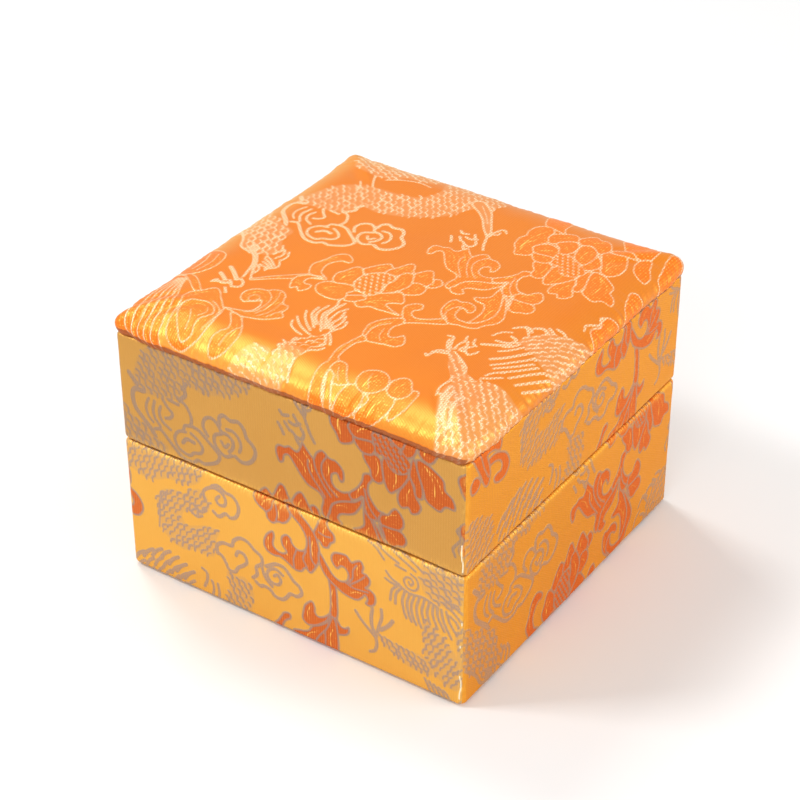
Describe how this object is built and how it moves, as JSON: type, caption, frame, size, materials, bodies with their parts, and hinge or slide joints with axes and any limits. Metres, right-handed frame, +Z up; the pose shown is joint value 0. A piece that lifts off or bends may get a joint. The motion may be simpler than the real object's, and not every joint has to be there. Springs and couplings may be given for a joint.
{
  "type": "chinese brocade box",
  "caption": "Square keepsake box in gold brocade over board, with a cloth-hinged lid, a padded top, a satin lining and a foam insert with a round well.",
  "frame": {"origin": "middle of the face it stands on", "axes": "+Z up; -Y out of the front, where the lid opens; +Y towards the hinge; +X to the right"},
  "size_m": [0.091, 0.091, 0.0692],
  "materials": {
    "brocade": "satin",
    "brocade_top": "satin",
    "satin": "satin",
    "foam": "matte",
    "greyboard": "matte",
    "lining_card": "matte",
    "bottom_sheet": "matte"
  },
  "bodies": {
    "base": {"bottom_sheet": "bottom_sheet", "base_floor_board": "greyboard", "base_front_wall": "greyboard", "base_back_wall": "greyboard", "base_left_wall": "greyboard", "base_right_wall": "greyboard", "base_brocade": "brocade", "hinge_base_leaf": "brocade", "base_lining_front": "lining_card", "base_lining_back": "lining_card", "base_lining_left": "lining_card", "base_lining_right": "lining_card", "base_lining_satin": "satin", "insert_foam": "foam", "insert_satin": "satin"},
    "lid": {"lid_front_wall": "greyboard", "lid_back_wall": "greyboard", "lid_left_wall": "greyboard", "lid_right_wall": "greyboard", "lid_top_board": "greyboard", "lid_brocade": "brocade", "hinge_lid_leaf": "brocade", "lid_lining_front": "lining_card", "lid_lining_back": "lining_card", "lid_lining_left": "lining_card", "lid_lining_right": "lining_card", "lid_lining_satin": "satin", "lid_ceiling_foam": "foam", "lid_ceiling_satin": "satin", "pad_card": "greyboard", "pad_foam": "foam", "pad_brocade": "brocade_top"}
  },
  "joints": [
    {"name": "lid_hinge", "type": "hinge", "parent": "base", "child": "lid", "pos_m": [0, 0.045, 0.035], "axis": [-1, 0, 0], "range_deg": [0, 105]}
  ]
}
